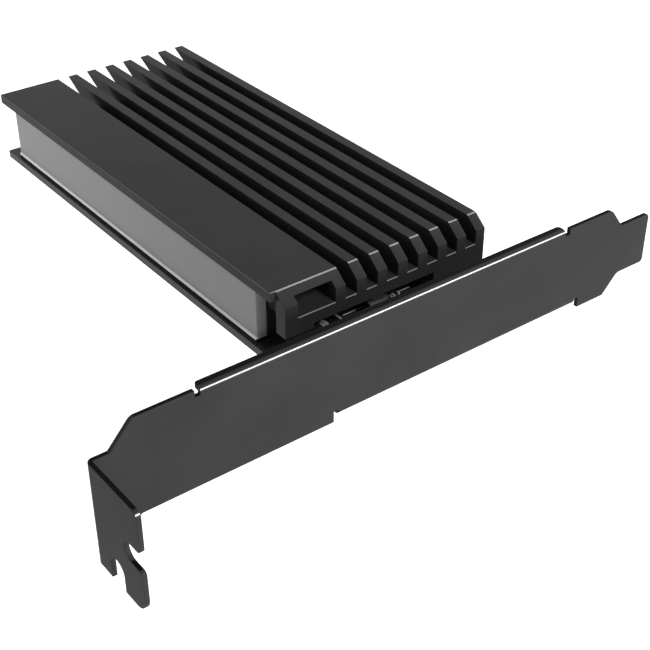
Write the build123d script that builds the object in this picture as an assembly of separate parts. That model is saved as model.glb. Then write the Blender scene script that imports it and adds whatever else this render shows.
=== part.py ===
from build123d import *
import os

# NVMe adapter card: a folded bracket, a board with an edge tongue, a finned heat sink over one
# M.2 drive bay, and a light bar along the card's top edge. Millimetres.
# Datums: X runs from the tab's seating face along the bracket, Y from the bracket's outer face
# along the card, Z up from the board's component side. Each piece is drawn there, and all are
# moved once to the origin: on the tab's seat, in line with its screw slot, half way along it.

os.makedirs("parts", exist_ok=True)

# Fits
gap = 0.3
thread_gap = 0.05
hole_gap = 0.1
overcut = 1.0

# Bracket
sheet = 0.86
body_width = 18.42
body_below_flange = 0.96
bend_inner = 0.25
tab_depth = 13.5
tab_width = 19.6
tab_drop = 4.55
tab_top_radius = 1.3
tab_bottom_radius = 2.6
slot_width = 3.6
slot_depth = 4.7
slot_drop = 9.55
slot_mouth_radius = 0.9
notch_width = 3.9
notch_depth = 5.0
slot_to_notch = 1.15
shoulder_start = 2.8
shoulder_run = 4.1
lower_shoulder_start = 1.3
lower_shoulder_run = 5.7
tongue_width = 10.5
tongue_length = 7.6
tongue_drop = 4.2
tongue_corner = 0.8
tongue_upper_run = 3.2
tongue_lower_run = 3.5
tongue_skew = 0.5
tongue_neck_radius = 1.6
lip_start = 18.6
lip_to_corner = 12.06
lip_depth = 2.1
lip_corner = 0.7
flange_inset = 1.46
flange_past_board = 1.36
flange_to_neck = 10.96
flange_depth = 9.5
relief_width = 1.0
relief_depth = 0.35

# Main board
board_thickness = 1.6
board_left = 43.34
board_to_bracket = 0.64
board_behind_socket = 18.5
side_strip = 9.1
corner_strip = 5.2
corner_length = 20.3
edge_tongue_depth = 8.25
edge_tongue_start = 46.5
key_width = 1.9
key_depth = 7.65
edge_bevel = 0.4

# Edge contacts
contact_pitch = 1.0
contact_width = 0.7
contact_length = 5.6
contact_thickness = 0.05
contact_past_bevel = 0.2
contact_from_corner = 0.65
contacts_before_key = 11
contacts_after_key = 21

# Drive bay
drive_width = 22.0
drive_length = 80.0
drive_thickness = 0.8
drive_chip_height = 1.3
left_foot_width = 6.35
standoff_place = 16.8
short_drives = (60.0, 42.0, 30.0)
drive_lift = 2.5
pad_thickness = 1.5
pad_side_inset = 1.6
pad_front_inset = 7.2
pad_back_inset = 2.4

# Heat sink
sink_front = 14.35
plate_past_board = 0.04
plate_thickness = 1.9
fin_count = 7
fin_thickness = 2.16
fin_gap = 2.52
fin_height = 5.0
front_slope_run = 2.7
front_slope_drop = 2.25
tip_overhang = 9.0
base_thickness = 2.4
front_setback = 1.12
tunnel_width = 8.07
tunnel_roof = 1.2
tunnel_left_wall = 0.4
tunnel_right_wall = 2.13
channel_roof = 1.9
mouth_depth = 6.7
mouth_corner_width = 6.1
mouth_corner_lift = 5.1
arris = 0.15

# M.2 socket
socket_side_gap = 0.05
socket_depth = 8.4
socket_height = 4.2
socket_grip = 4.4
socket_end_wall = 0.95
socket_lead = 0.4
socket_pitch = 0.5
socket_row_inset = 0.9
socket_tail_width = 0.22
socket_tail_length = 0.9
socket_tail_height = 0.3
socket_key_count = 4
socket_end_count = 4
socket_rib = 1.0

# Standoff and its screw
standoff_radius = 2.25
standoff_neck_radius = 1.65
standoff_foot_radius = 1.5
screw_bore_radius = 1.0
drive_screw_head_radius = 2.1
drive_screw_head_height = 0.8
drive_screw_head_bevel = 0.35
drive_screw_reach = 2.4
recess_radius = 0.85
recess_depth = 0.4

# Screws through the board
board_screw_radius = 1.25
board_screw_head_radius = 2.3
board_screw_head_height = 1.5
board_screw_head_bevel = 0.5
sink_screw_reach = 4.4
sink_screw_front_inset = 6.0
sink_screw_back_inset = 6.4
bracket_screw_reach = 0.5
bracket_screw_inset = 9.5
bracket_screw_from_edge = 3.3

# Light bar and what lights it
bar_inset = 0.72
bar_thickness = 2.5
bar_foot = 0.3
bar_foot_height = 0.9
bar_front_inset = 5.92
bar_back_inset = 4.1
bar_gap = 0.22
backing_wall = 0.6
strip_thickness = 0.8
lamp_size = 3.5
lamp_height = 0.7
lamp_gap = 0.19
lamp_margin = 7.0
lamp_count = 9

# Chips, their rows and the light header
cap_length = 0.45
small_chip_length = 1.6
small_chip_width = 0.8
small_chip_height = 0.8
resistor_height = 0.5
input_chip_length = 3.2
input_chip_width = 2.5
input_chip_height = 1.8
input_chip_count = 2
status_lamp_length = 3.4
status_lamp_width = 2.0
status_lamp_height = 0.7
status_lamp_offset = 8.0
mouth_resistor_offset = 7.0
mouth_row_offset = 3.1
inductor_side = 6.6
inductor_height = 3.0
inductor_bevel = 0.5
regulator_side = 3.0
controller_side = 4.0
package_height = 0.9
package_bevel = 0.15
front_row_inset = 7.77
front_row_start = 11.1
front_row_gap = 2.0
side_row_from_end = 33.7
side_row_gap = 1.6
decoupling_count = 7
decoupling_pitch = 2.6
decoupling_offset = 8.0
decoupling_from_socket = 3.4
coupling_count = 8
coupling_pitch = 2.4
coupling_start = 15.0
coupling_inset = 2.6
header_pitch = 2.54
header_pins = 3
header_pin_width = 0.64
header_pin_height = 8.5
header_base_height = 2.5

# Heights, from the board's component side up
drive_top = drive_lift + drive_thickness
bay_ceiling = drive_top + drive_chip_height + pad_thickness
gap_floor = bay_ceiling + base_thickness
sink_top = gap_floor + fin_height
recess_top = sink_top - plate_thickness
channel_top = gap_floor - channel_roof
backing_top = channel_top - hole_gap

# Heights, from the board's solder side down, and the bracket's from its flange
flange_top = -board_thickness
flange_bottom = flange_top - sheet
body_bottom = flange_bottom - body_below_flange
body_top = body_bottom + body_width
tab_top = body_top - tab_drop
tab_bottom = tab_top - tab_width
slot_height = tab_top - slot_drop

# Across the card, from the light bar's side to the edge tongue
sink_left = board_left - plate_past_board
bar_left = board_left + bar_inset
bar_right = bar_left + bar_thickness
lamp_face = bar_right + lamp_gap
strip_face = lamp_face + lamp_height
strip_back = strip_face + strip_thickness
backing_right = strip_back + backing_wall
foot_left = backing_right + hole_gap
recess_right = bar_right + bar_gap
tunnel_left = recess_right + tunnel_left_wall
tunnel_right = tunnel_left + tunnel_width
plate_right = tunnel_right + tunnel_right_wall
fin_pitch = fin_thickness + fin_gap
sink_right = plate_right + fin_count * fin_pitch
board_right = sink_right + side_strip
tongue_tip = board_right + edge_tongue_depth
bay_left = foot_left + left_foot_width
drive_axis = bay_left + gap + drive_width / 2
bay_right = drive_axis + drive_width / 2 + gap
left_foot_axis = (foot_left + bay_left) / 2
right_foot_axis = (bay_right + sink_right) / 2
side_row_axis = (sink_right + board_right) / 2

# Along the bracket
flange_start = board_left + flange_inset
flange_end = board_right + flange_past_board
neck = flange_end + flange_to_neck
bracket_tip = neck + tongue_length
lip_end = neck - tongue_upper_run - lip_to_corner
bend_outer = bend_inner + sheet

# Along the card, from the bracket to the far end
board_front = sheet + board_to_bracket
sink_face = sink_front + front_slope_run
socket_mouth = standoff_place + drive_length - socket_grip
socket_back = socket_mouth + socket_depth
board_end = socket_back + board_behind_socket
sink_back = board_end - tip_overhang
bar_start = sink_face + bar_front_inset
bar_end = board_end - bar_back_inset
key_start = edge_tongue_start + contact_from_corner + contact_pitch * contacts_before_key
key_end = key_start + key_width
tongue_end = key_end + contact_from_corner + contact_pitch * contacts_after_key


def block(x, y, z):
    """Box between two bounds along each axis."""
    sizes = [upper - lower for lower, upper in (x, y, z)]
    return Pos(x[0], y[0], z[0]) * Box(*sizes, align=(Align.MIN, Align.MIN, Align.MIN))


def post(radius, x, y, z):
    """Upright cylinder at x, y between two heights."""
    return Pos(x, y, z[0]) * Cylinder(radius, z[1] - z[0], align=(Align.CENTER, Align.CENTER, Align.MIN))


def facing_front(y):
    """Plane across the card at y, seen from the bracket's outer side: X right, Z up."""
    return Plane(origin=(0, y, 0), x_dir=(1, 0, 0), z_dir=(0, -1, 0))


def side_prism(outline, x):
    """Outline in Y and Z, carried along X between two bounds."""
    return extrude(Plane.YZ.offset(x[0]) * Polygon(*outline, align=None), x[1] - x[0])


def rounded(sketch, corners, radius):
    """Round the sketch's vertices that lie at the given corners."""
    for corner in corners:
        vertex = sketch.vertices().sort_by_distance((*corner, 0))[0]
        sketch = fillet(vertex, radius)
    return sketch


def edges_at(part, axis, **place):
    """Edges along an axis whose middle lies at the named coordinates."""
    def lies_there(edge):
        middle = edge @ 0.5
        return all(abs(getattr(middle, name) - value) < 0.01 for name, value in place.items())
    return part.edges().filter_by(axis).filter_by(lies_there)


def bracket_face():
    """Flat outline of the bracket's body and tongue, X to the right and Z up."""
    tongue_top = body_top - tongue_drop
    tongue_bottom = tongue_top - tongue_width
    upper_corner = (neck - tongue_upper_run, body_top)
    lower_corner = (neck - tongue_lower_run + tongue_skew, body_bottom)
    lower_neck = (neck + tongue_skew, tongue_bottom)
    shoulder = (shoulder_start + shoulder_run, body_top)
    outline = Polygon(
        (-sheet, tab_bottom), (lower_shoulder_start, tab_bottom),
        (lower_shoulder_start + lower_shoulder_run, body_bottom), lower_corner, lower_neck,
        (bracket_tip, tongue_bottom), (bracket_tip, tongue_top), (neck, tongue_top), upper_corner,
        shoulder, (shoulder_start, tab_top), (-sheet, tab_top), align=None)
    outline = rounded(outline, [(bracket_tip, tongue_bottom), (bracket_tip, tongue_top)], tongue_corner)
    return rounded(outline, [upper_corner, lower_neck, shoulder], tongue_neck_radius)


def tab_face():
    """Flat outline of the screw tab, Y to the right and Z up, with its slot and its notch."""
    outline = Polygon(
        (-tab_depth, tab_bottom), (sheet, tab_bottom), (sheet, tab_top), (-tab_depth, tab_top), align=None)
    outline = rounded(outline, [(-tab_depth, tab_bottom)], tab_bottom_radius)
    outline = rounded(outline, [(-tab_depth, tab_top)], tab_top_radius)
    slot_end = slot_depth - tab_depth - slot_width / 2
    slot = Pos(slot_end, slot_height) * Circle(slot_width / 2)
    slot += Pos(slot_end, slot_height) * Rectangle(
        2 * slot_depth, slot_width, align=(Align.MAX, Align.CENTER))
    notch_axis = slot_depth - tab_depth + slot_to_notch + notch_width / 2
    notch_end = tab_bottom + notch_depth - notch_width / 2
    notch = Pos(notch_axis, notch_end) * Circle(notch_width / 2)
    notch += Pos(notch_axis, notch_end) * Rectangle(
        notch_width, 2 * notch_depth, align=(Align.CENTER, Align.MAX))
    outline = outline - slot - notch
    mouth = [(-tab_depth, slot_height + side * slot_width / 2) for side in (-1, 1)]
    return rounded(outline, mouth, slot_mouth_radius)


def relieved_fold(part, start, end, edge, depth):
    """Cut the short reliefs that free a fold at both its ends, from the sheet's edge inward."""
    for x in (start - relief_width, end):
        part -= block((x, x + relief_width), (0, sheet), sorted((edge, edge + depth)))
    return part


def make_bracket():
    """One sheet, folded at the tab, at the stiffening lip and at the board's flange."""
    part = extrude(facing_front(0) * bracket_face(), -sheet)
    part += extrude(Plane.YZ.offset(-sheet) * tab_face(), sheet)
    part = relieved_fold(part, lip_start, lip_end, body_top, -(sheet + relief_depth))
    part -= block((flange_start, flange_end), (0, sheet), (body_bottom, flange_bottom))
    relief = flange_top - body_bottom + relief_depth
    part = relieved_fold(part, flange_start, flange_end, body_bottom, relief)
    part += block((lip_start, lip_end), (0, lip_depth), (body_top - sheet, body_top))
    part += block((flange_start, flange_end), (0, flange_depth), (flange_bottom, flange_top))
    part = fillet(edges_at(part, Axis.Z, Y=lip_depth), lip_corner)
    part = fillet(edges_at(part, Axis.Z, Y=flange_depth), lip_corner)
    part = fillet(edges_at(part, Axis.Z, X=-sheet, Y=sheet), bend_outer)
    part = fillet(edges_at(part, Axis.Z, X=0, Y=0), bend_inner)
    part = fillet(edges_at(part, Axis.X, X=(lip_start + lip_end) / 2, Y=0, Z=body_top), bend_outer)
    flange_middle = (flange_start + flange_end) / 2
    part = fillet(edges_at(part, Axis.X, X=flange_middle, Y=0, Z=flange_bottom), bend_outer)
    for x, y in bracket_screw_spots():
        part -= post(board_screw_radius + thread_gap, x, y, (flange_bottom, flange_top))
    return part


def bracket_screw_spots():
    """X, Y of the two screws that hold the board to the flange."""
    y = flange_depth - bracket_screw_from_edge
    return [(flange_start + bracket_screw_inset, y), (flange_end - bracket_screw_inset, y)]


def sink_screw_spots():
    """X, Y of the four screws that hold the heat sink's feet."""
    places = (sink_front + mouth_depth + sink_screw_front_inset, sink_back - sink_screw_back_inset)
    return [(x, y) for x in (left_foot_axis, right_foot_axis) for y in places]


def headed_screw(x, y, under_head, head_up, reach):
    """Bevelled-head screw with its head above (head_up 1) or below (-1) the height under_head."""
    head_top = under_head + head_up * board_screw_head_height
    part = post(board_screw_head_radius, x, y, sorted((under_head, head_top)))
    rim = part.edges().filter_by(GeomType.CIRCLE).sort_by(Axis.Z)[-1 if head_up > 0 else 0]
    part = chamfer(rim, board_screw_head_bevel)
    part += post(board_screw_radius, x, y, sorted((under_head, under_head - head_up * reach)))
    floor = head_top - head_up * recess_depth
    return part - hex_recess(x, y, sorted((floor, head_top)))


def hex_recess(x, y, z):
    """Six-sided driver recess between two heights."""
    return extrude(Pos(x, y, z[0]) * RegularPolygon(recess_radius, 6), z[1] - z[0])


def make_bracket_screws():
    """Two screws down through the board into the flange."""
    reach = board_thickness + sheet + bracket_screw_reach
    return [headed_screw(x, y, 0, 1, reach) for x, y in bracket_screw_spots()]


def make_sink_screws():
    """Four screws up through the board into the heat sink's feet."""
    reach = board_thickness + sink_screw_reach
    return [headed_screw(x, y, -board_thickness, -1, reach) for x, y in sink_screw_spots()]


def make_board():
    """Board with its edge tongue, key notch, set-back front corner and drilled holes."""
    def area(x, y):
        return Pos(x[0], y[0]) * Rectangle(x[1] - x[0], y[1] - y[0], align=(Align.MIN, Align.MIN))
    outline = area((board_left, board_right), (board_front, board_end))
    outline += area((board_right - overcut, tongue_tip), (edge_tongue_start, tongue_end))
    outline -= area((tongue_tip - key_depth, tongue_tip + overcut), (key_start, key_end))
    corner = sink_right + corner_strip
    past = board_right + overcut
    slanted_end = corner_length + past - corner
    outline -= Polygon((corner, 0), (past, 0), (past, slanted_end), (corner, corner_length), align=None)
    for x, y in bracket_screw_spots() + sink_screw_spots():
        outline -= Pos(x, y) * Circle(board_screw_radius + hole_gap)
    outline -= Pos(drive_axis, standoff_place) * Circle(standoff_foot_radius + thread_gap)
    for length in short_drives:
        outline -= Pos(drive_axis, standoff_place + drive_length - length) * Circle(standoff_foot_radius)
    part = Pos(0, 0, -board_thickness) * extrude(outline, board_thickness)
    return chamfer(part.edges().filter_by(Axis.Y).group_by(Axis.X)[-1], edge_bevel)


def contact_rows():
    """Middle Y of each edge contact, before and after the key notch."""
    first = [edge_tongue_start + contact_from_corner + contact_pitch * i for i in range(contacts_before_key)]
    second = [key_end + contact_from_corner + contact_pitch * i for i in range(contacts_after_key)]
    return first + second


def make_edge_contacts(bottom):
    """Plated fingers of one side, from the height bottom upward."""
    contact_tip = tongue_tip - edge_bevel - contact_past_bevel
    x = (contact_tip - contact_length, contact_tip)
    half = contact_width / 2
    return [block(x, (y - half, y + half), (bottom, bottom + contact_thickness)) for y in contact_rows()]


def sink_section():
    """End view of the heat sink's extrusion, X to the right and Z up."""
    def area(x, z):
        return Pos(x[0], z[0]) * Rectangle(x[1] - x[0], z[1] - z[0], align=(Align.MIN, Align.MIN))
    section = area((sink_left, sink_right), (0, sink_top))
    tunnel, *gaps = floor_spans()
    for x in gaps:
        section -= area(x, (gap_floor, sink_top + overcut))
    section -= area(tunnel, (gap_floor, sink_top - tunnel_roof))
    return section - area((bay_left, bay_right), (-overcut, bay_ceiling))


def make_heatsink():
    """Extruded body, then milled: light bar recess, front slope, mouth, and undercut back."""
    part = extrude(facing_front(sink_front) * sink_section(), -(board_end - sink_front))
    part -= block((sink_left, recess_right), (sink_face, board_end), (0, recess_top))
    part -= block((recess_right, foot_left), (sink_face, board_end), (0, channel_top))
    part -= block((sink_left, sink_left + front_setback), (sink_front, sink_face), (0, sink_top))
    mouth_y = (sink_front, sink_front + mouth_depth)
    part -= block((sink_left, bay_left), mouth_y, (0, mouth_corner_lift))
    part -= block((sink_left + front_setback + mouth_corner_width, bay_left), mouth_y, (0, bay_ceiling))
    part -= side_prism(front_slope(), (sink_left, sink_right))
    for x in floor_spans():
        lip = [(sink_front, gap_floor - arris), (sink_front + arris, gap_floor), (sink_front, gap_floor)]
        part -= side_prism(lip, x)
    run_at_plate = tip_overhang * plate_thickness / fin_height
    under_plate = [(board_end - run_at_plate, recess_top), (sink_back, gap_floor), (sink_back, 0),
                   (board_end, 0), (board_end, recess_top)]
    under_fins = [(board_end, sink_top), (sink_back, gap_floor), (sink_back, 0), (board_end, 0)]
    part -= side_prism(under_plate, (sink_left, plate_right))
    part -= side_prism(under_fins, (plate_right, sink_right))
    for x, y in sink_screw_spots():
        part -= post(board_screw_radius + thread_gap, x, y, (0, sink_screw_reach + gap))
    return chamfer(edges_at(part, Axis.Y, X=sink_left, Z=sink_top), arris)


def front_slope():
    """Outline in Y and Z of what the sloped cut takes off the front, with a broken upper edge."""
    steepness = front_slope_drop / front_slope_run
    return [(sink_front, sink_top - front_slope_drop), (sink_face - arris, sink_top - arris * steepness),
            (sink_face + arris, sink_top), (sink_front, sink_top)]


def floor_spans():
    """X bounds of each open floor at the front: the tunnel and the gaps between the fins."""
    lefts = [plate_right + fin_pitch * i for i in range(fin_count)]
    return [(tunnel_left, tunnel_right)] + [(left, left + fin_gap) for left in lefts]


def make_thermal_pad():
    """Soft pad on the bay's ceiling, over the drive's chips."""
    x = (bay_left + pad_side_inset, bay_right - pad_side_inset)
    y = (standoff_place + pad_front_inset, socket_mouth - pad_back_inset)
    return block(x, y, (bay_ceiling - pad_thickness, bay_ceiling))


def make_standoff():
    """Round standoff soldered in the board, with a neck for the drive's half-round end."""
    part = post(standoff_radius, drive_axis, standoff_place, (0, drive_lift))
    part += post(standoff_neck_radius, drive_axis, standoff_place, (drive_lift, drive_top))
    part += post(standoff_foot_radius, drive_axis, standoff_place, (-board_thickness, 0))
    bore = (drive_top - drive_screw_reach - gap, drive_top)
    return part - post(screw_bore_radius + thread_gap, drive_axis, standoff_place, bore)


def make_drive_screw():
    """Small bevelled-head screw in the standoff, with its driver recess."""
    top = drive_top + drive_screw_head_height
    part = post(drive_screw_head_radius, drive_axis, standoff_place, (drive_top, top))
    part = chamfer(part.edges().filter_by(GeomType.CIRCLE).sort_by(Axis.Z)[-1], drive_screw_head_bevel)
    part += post(screw_bore_radius, drive_axis, standoff_place, (drive_top - drive_screw_reach, drive_top))
    return part - hex_recess(drive_axis, standoff_place, (top - recess_depth, top))


def make_socket_housing():
    """M.2 socket body: a lead-in slot toward the drive, and the key rib across it."""
    left, right = socket_bounds()
    slot_low = drive_lift - hole_gap
    slot_high = drive_top + hole_gap
    slot_back = socket_mouth + socket_grip
    lead_end = socket_mouth + socket_lead
    part = block((left, right), (socket_mouth, socket_back), (0, socket_height))
    part = chamfer(edges_at(part, Axis.X, Y=socket_back, Z=socket_height), socket_lead)
    slot = [(socket_mouth, slot_low - socket_lead), (lead_end, slot_low), (slot_back, slot_low),
            (slot_back, slot_high), (lead_end, slot_high), (socket_mouth, slot_high + socket_lead)]
    part -= side_prism(slot, (left + socket_end_wall, right - socket_end_wall))
    key = sum(socket_key_tails()) / socket_key_count
    rib = (key - socket_rib / 2, key + socket_rib / 2)
    return part + block(rib, (lead_end, slot_back), (slot_low, slot_high))


def socket_bounds():
    """X of the socket's two sides."""
    half = drive_width / 2 - socket_side_gap
    return (drive_axis - half, drive_axis + half)


def socket_row():
    """X of every place in the socket's row of tails, those at the key included."""
    left, right = socket_bounds()
    room = right - left - 2 * (socket_end_wall + socket_row_inset)
    steps = int(room / socket_pitch)
    return [drive_axis + socket_pitch * (i - steps / 2) for i in range(steps + 1)]


def socket_key_tails():
    """X of the places that the key leaves empty."""
    return socket_row()[-socket_end_count - socket_key_count:-socket_end_count]


def make_socket_contacts():
    """Solder tails in a row behind the socket and in one before it, with none at the key."""
    front_row_y = (socket_mouth - socket_tail_length, socket_mouth)
    back_row_y = (socket_back, socket_back + socket_tail_length)
    half = socket_tail_width / 2
    places = [x for x in socket_row() if x not in socket_key_tails()]
    rows = (front_row_y, back_row_y)
    return [block((x - half, x + half), y, (0, socket_tail_height)) for y in rows for x in places]


def make_light_bar():
    """Frosted bar under the plate's overhang, with a sloped foot along its outer side."""
    face = bar_left + bar_foot
    outline = [(bar_left, 0), (bar_right, 0), (bar_right, recess_top), (face, recess_top),
               (face, bar_foot_height), (bar_left, bar_foot_height - bar_foot)]
    section = facing_front(bar_start) * Polygon(*outline, align=None)
    return extrude(section, -(bar_end - bar_start))


def make_light_backing():
    """Dark channel behind the bar, closed at both ends, open toward the bar."""
    part = block((bar_right, backing_right), (bar_start, sink_back), (0, backing_top))
    inner_y = (bar_start + backing_wall, sink_back - backing_wall)
    return part - block((bar_right, strip_back), inner_y, (backing_wall, backing_top - backing_wall))


def make_strip_board():
    """Narrow board on edge in the channel."""
    y = (bar_start + backing_wall + gap, sink_back - backing_wall - gap)
    return block((strip_face, strip_back), y, (backing_wall, backing_top - backing_wall))


def make_strip_lamps():
    """Square lamps in a row on the strip board, facing the bar."""
    half = lamp_size / 2
    middle = backing_top / 2
    pitch = (sink_back - bar_start - 2 * lamp_margin) / (lamp_count - 1)
    places = [bar_start + lamp_margin + pitch * i for i in range(lamp_count)]
    z = (middle - half, middle + half)
    return [block((lamp_face, strip_face), (y - half, y + half), z) for y in places]


def chip(x, y, length, width, height, along_x=True):
    """Body and two end caps of a small chip centred at x, y on the board."""
    half = length / 2
    inner = half - cap_length
    spans = ((-inner, inner), (-half, -inner), (inner, half))
    across = (-width / 2, width / 2)
    pieces = []
    for span in spans:
        a, b = (span, across) if along_x else (across, span)
        pieces.append(block((x + a[0], x + a[1]), (y + b[0], y + b[1]), (0, height)))
    return pieces[0], pieces[1:]


def row_of_chips(places, length, width, height, along_x):
    """Bodies and end caps of alike chips at the given places."""
    made = [chip(x, y, length, width, height, along_x) for x, y in places]
    return [body for body, _ in made], [cap for _, caps in made for cap in caps]


def package(x, y, side, height, bevel):
    """Flat square package with its top edge broken."""
    half = side / 2
    part = block((x - half, x + half), (y - half, y + half), (0, height))
    return chamfer(part.faces().sort_by(Axis.Z)[-1].edges(), bevel)


def spread(start, widths, space):
    """Middle of each of several neighbours of the given widths, with an even space between."""
    middles = []
    for width in widths:
        middles.append(start + width / 2)
        start += width + space
    return middles


def front_row():
    """X, Y of the inductor, the regulator and the input capacitors, in a row before the heat sink."""
    start = bracket_screw_spots()[0][0] + front_row_start
    widths = [inductor_side, regulator_side] + [input_chip_width] * input_chip_count
    return [(x, board_front + front_row_inset) for x in spread(start, widths, front_row_gap)]


def side_row():
    """Middle Y of two resistors, the light controller and the header, in a row beside the heat sink."""
    widths = [small_chip_width, small_chip_width, controller_side, header_pitch * header_pins]
    return spread(board_end - side_row_from_end, widths, side_row_gap)


def make_header():
    """Base and pins of the light header beside the heat sink."""
    half = header_pitch / 2
    half_length = half * header_pins
    middle = side_row()[-1]
    base_y = (middle - half_length, middle + half_length)
    base = block((side_row_axis - half, side_row_axis + half), base_y, (0, header_base_height))
    half_pin = header_pin_width / 2
    pins = []
    for i in range(header_pins):
        y = middle - half_length + half + header_pitch * i
        bounds = (side_row_axis - half_pin, side_row_axis + half_pin), (y - half_pin, y + half_pin)
        base -= block(*bounds, (0, header_base_height))
        pins.append(block(*bounds, (0, header_pin_height)))
    return base, pins


def small_parts():
    """The chips on the board, by node, with all their bright end caps in one node."""
    inductor_spot, regulator_spot, *input_spots = front_row()
    *side_resistors, controller_place, _ = side_row()
    mouth_row = standoff_place + mouth_row_offset
    decoupling_start = drive_axis - decoupling_offset
    decoupling_row = socket_back + decoupling_from_socket
    decoupling_spots = [
        (decoupling_start + decoupling_pitch * i, decoupling_row) for i in range(decoupling_count)]
    coupling_first = edge_tongue_start + coupling_start
    coupling_axis = board_right - coupling_inset
    coupling_spots = [(coupling_axis, coupling_first + coupling_pitch * i) for i in range(coupling_count)]
    resistor_spots = [(side_row_axis, y) for y in side_resistors]
    resistor_spots.append((drive_axis + mouth_resistor_offset, mouth_row))
    small = (small_chip_length, small_chip_width, small_chip_height)
    inputs, input_caps = row_of_chips(
        input_spots, input_chip_length, input_chip_width, input_chip_height, False)
    decoupling, decoupling_caps = row_of_chips(decoupling_spots, *small, False)
    coupling, coupling_caps = row_of_chips(coupling_spots, *small, True)
    resistors, resistor_caps = row_of_chips(
        resistor_spots, small_chip_length, small_chip_width, resistor_height, True)
    lamp, lamp_caps = chip(
        drive_axis - status_lamp_offset, mouth_row, status_lamp_length, status_lamp_width, status_lamp_height)
    return {
        "input_capacitors": inputs,
        "decoupling_capacitors": decoupling,
        "coupling_capacitors": coupling,
        "chip_resistors": resistors,
        "status_lamp": [lamp],
        "chip_terminals": input_caps + decoupling_caps + coupling_caps + resistor_caps + lamp_caps,
        "regulator_chip": [package(*regulator_spot, regulator_side, package_height, package_bevel)],
        "light_controller_chip": [
            package(side_row_axis, controller_place, controller_side, package_height, package_bevel)],
        "power_inductor": [package(*inductor_spot, inductor_side, inductor_height, inductor_bevel)],
    }


def all_nodes():
    """Every node's solids, drawn at the card's datums."""
    header_base, header_pins_made = make_header()
    nodes = {
        "bracket": [make_bracket()],
        "bracket_screws": make_bracket_screws(),
        "main_board": [make_board()],
        "edge_contacts_component_side": make_edge_contacts(0),
        "edge_contacts_solder_side": make_edge_contacts(-board_thickness - contact_thickness),
        "m2_socket_housing": [make_socket_housing()],
        "m2_socket_contacts": make_socket_contacts(),
        "m2_standoff": [make_standoff()],
        "m2_screw": [make_drive_screw()],
        "heatsink": [make_heatsink()],
        "heatsink_screws": make_sink_screws(),
        "thermal_pad": [make_thermal_pad()],
        "light_bar": [make_light_bar()],
        "light_bar_backing": [make_light_backing()],
        "light_strip_board": [make_strip_board()],
        "strip_lamps": make_strip_lamps(),
        "light_header_base": [header_base],
        "light_header_pins": header_pins_made,
    }
    nodes.update(small_parts())
    return nodes


def main():
    """Move each node to the origin on the tab's seat and write it."""
    to_origin = Pos(0, tab_depth / 2, -slot_height)
    for name, pieces in all_nodes().items():
        solids = [to_origin * solid for piece in pieces for solid in piece.solids()]
        shape = solids[0] if len(solids) == 1 else Compound(children=solids)
        export_step(shape, f"parts/{name}.step")
        print(name, len(solids), round(sum(solid.volume for solid in solids), 3))


main()
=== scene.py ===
import logging
import math
from dataclasses import dataclass
from enum import Enum
from typing import Optional, Sequence, Union

import bmesh
import bpy
from mathutils import Matrix, Vector


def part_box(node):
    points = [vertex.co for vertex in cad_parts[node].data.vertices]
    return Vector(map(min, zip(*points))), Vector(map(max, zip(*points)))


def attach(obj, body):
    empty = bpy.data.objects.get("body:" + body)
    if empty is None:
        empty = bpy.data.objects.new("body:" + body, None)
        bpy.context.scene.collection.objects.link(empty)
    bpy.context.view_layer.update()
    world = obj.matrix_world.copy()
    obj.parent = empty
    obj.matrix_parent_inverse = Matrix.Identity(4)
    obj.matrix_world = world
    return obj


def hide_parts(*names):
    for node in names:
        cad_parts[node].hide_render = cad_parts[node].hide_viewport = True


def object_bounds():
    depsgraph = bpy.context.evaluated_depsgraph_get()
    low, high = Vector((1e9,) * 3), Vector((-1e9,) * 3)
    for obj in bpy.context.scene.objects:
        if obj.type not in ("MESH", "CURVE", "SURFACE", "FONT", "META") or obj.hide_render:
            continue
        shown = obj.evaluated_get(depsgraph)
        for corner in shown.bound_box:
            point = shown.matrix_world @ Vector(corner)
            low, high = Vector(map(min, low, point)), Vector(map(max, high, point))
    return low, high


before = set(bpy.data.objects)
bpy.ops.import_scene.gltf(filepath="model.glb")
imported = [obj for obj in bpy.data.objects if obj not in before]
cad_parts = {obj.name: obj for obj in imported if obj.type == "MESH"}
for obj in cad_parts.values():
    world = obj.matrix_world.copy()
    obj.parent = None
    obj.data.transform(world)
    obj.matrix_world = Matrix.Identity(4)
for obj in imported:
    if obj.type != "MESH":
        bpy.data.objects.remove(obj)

LOG = logging.getLogger("adapter_card")
CAD_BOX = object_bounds()
MM = 0.001
BODY = "root"

Point = tuple[float, float, float]
Flat = tuple[float, float]
Tree = bpy.types.NodeTree
Outlet = bpy.types.NodeSocket

# How far the fine grain shifts a finish's tone. The slow patches shift it by the rest.
GRAIN_SHARE = 0.35
# The part of the slow noise that counts.
PATCH_RANGE = (0.3, 0.7)
# Before edges are broken, points nearer than this become one, and facets within the first angle one
# plane. Faces that meet at more than the second angle have an edge to break.
WELD_MM = 0.001
PLANE_ANGLE = math.radians(1.0)
EDGE_ANGLE = math.radians(35)


class BoardSide(Enum):
    """The two faces of the board, as the way each one looks."""

    COMPONENT = 1
    SOLDER = -1


class Edges(Enum):
    """How far a piece's edges are broken, in millimetres."""

    EXTRUDED = 0.07
    SHEARED = 0.09
    MOULDED = 0.12
    ROUTED = 0.06


# Colour and nodes


def linear(colour: str) -> tuple[float, float, float, float]:
    """Turn an sRGB hex colour into linear light.

    Args:
        colour: The colour as "#rrggbb".

    Returns:
        Red, green, blue and a full alpha.
    """
    shares = [int(colour[i:i + 2], 16) / 255 for i in (1, 3, 5)]
    red, green, blue = (s / 12.92 if s <= 0.04045 else ((s + 0.055) / 1.055) ** 2.4 for s in shares)
    return (red, green, blue, 1.0)


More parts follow.
